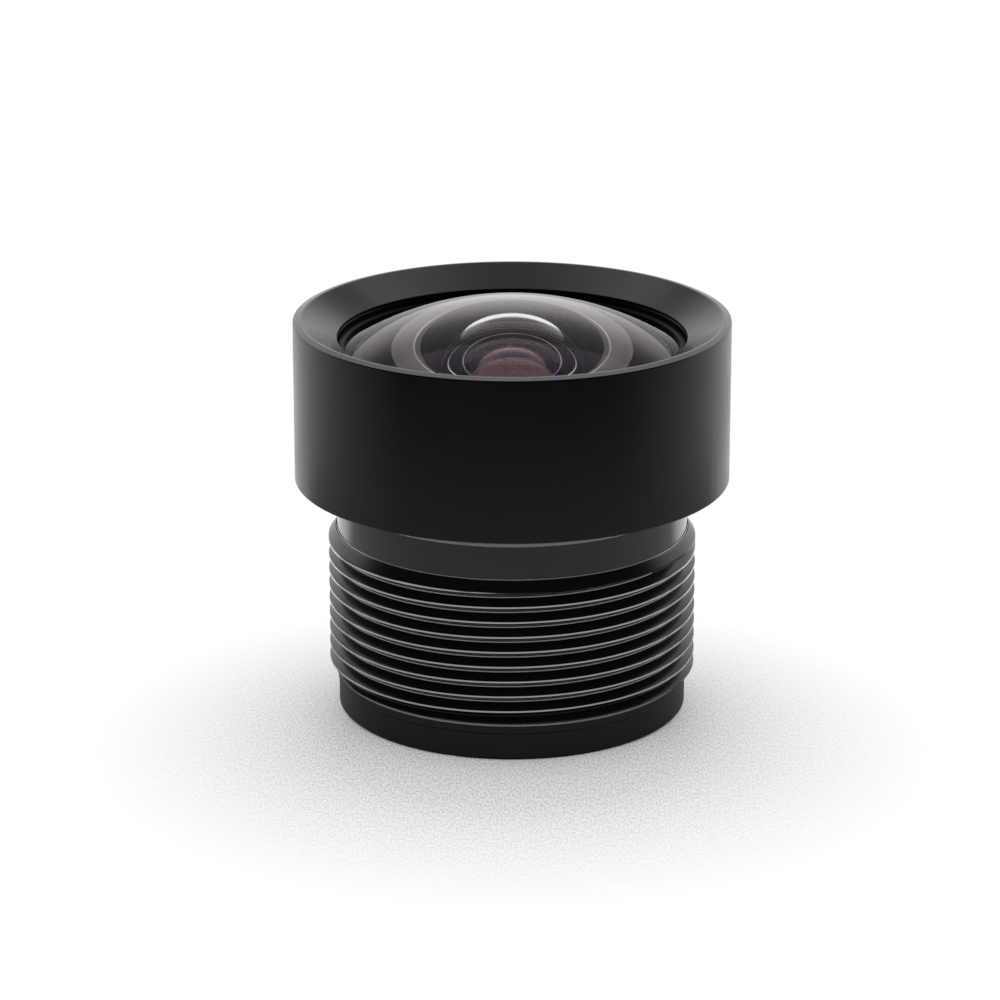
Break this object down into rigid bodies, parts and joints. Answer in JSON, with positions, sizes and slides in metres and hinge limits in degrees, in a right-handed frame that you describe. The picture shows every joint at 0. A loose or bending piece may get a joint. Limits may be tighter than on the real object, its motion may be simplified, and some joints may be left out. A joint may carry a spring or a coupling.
{
  "type": "board camera lens",
  "caption": "Small round fixed-focus camera lens with a wide head, a domed front glass, a short neck and a fine-pitch screw barrel.",
  "frame": {"origin": "centre of the barrel's rear face, on the optical axis", "axes": "+Z along the optical axis, out of the front glass; X and Y across it"},
  "size_m": [0.0142, 0.0142, 0.0135],
  "materials": {
    "black_anodised_aluminium": "satin black anodised, finely turned",
    "blackened_ring_aluminium": "matt black anodised",
    "black_spacer_aluminium": "matt black anodised against stray light",
    "blackened_foil": "matt black film",
    "coated_front_glass": "polished, with an anti-reflection coating",
    "coated_optical_glass": "polished, with an anti-reflection coating",
    "infrared_filter_glass": "polished, with a faint cyan interference coating",
    "seal_rubber": "smooth black"
  },
  "bodies": {
    "root": {"barrel": "black_anodised_aluminium", "front_retaining_ring": "blackened_ring_aluminium", "rear_retaining_ring": "blackened_ring_aluminium", "front_meniscus_lens": "coated_front_glass", "front_seal_ring": "seal_rubber", "filter_gasket": "blackened_foil", "infrared_cut_filter": "infrared_filter_glass", "front_spacer_ring": "black_spacer_aluminium", "stop_spacer_ring": "black_spacer_aluminium", "middle_spacer_ring": "black_spacer_aluminium", "rear_spacer_ring": "black_spacer_aluminium", "front_light_baffle": "blackened_foil", "second_light_baffle": "blackened_foil", "rear_light_baffle": "blackened_foil", "aperture_stop": "blackened_foil", "second_meniscus_lens": "coated_optical_glass", "third_lens": "coated_optical_glass", "doublet_crown_lens": "coated_optical_glass", "doublet_flint_lens": "coated_optical_glass", "rear_lens": "coated_optical_glass"}
  },
  "joints": []
}
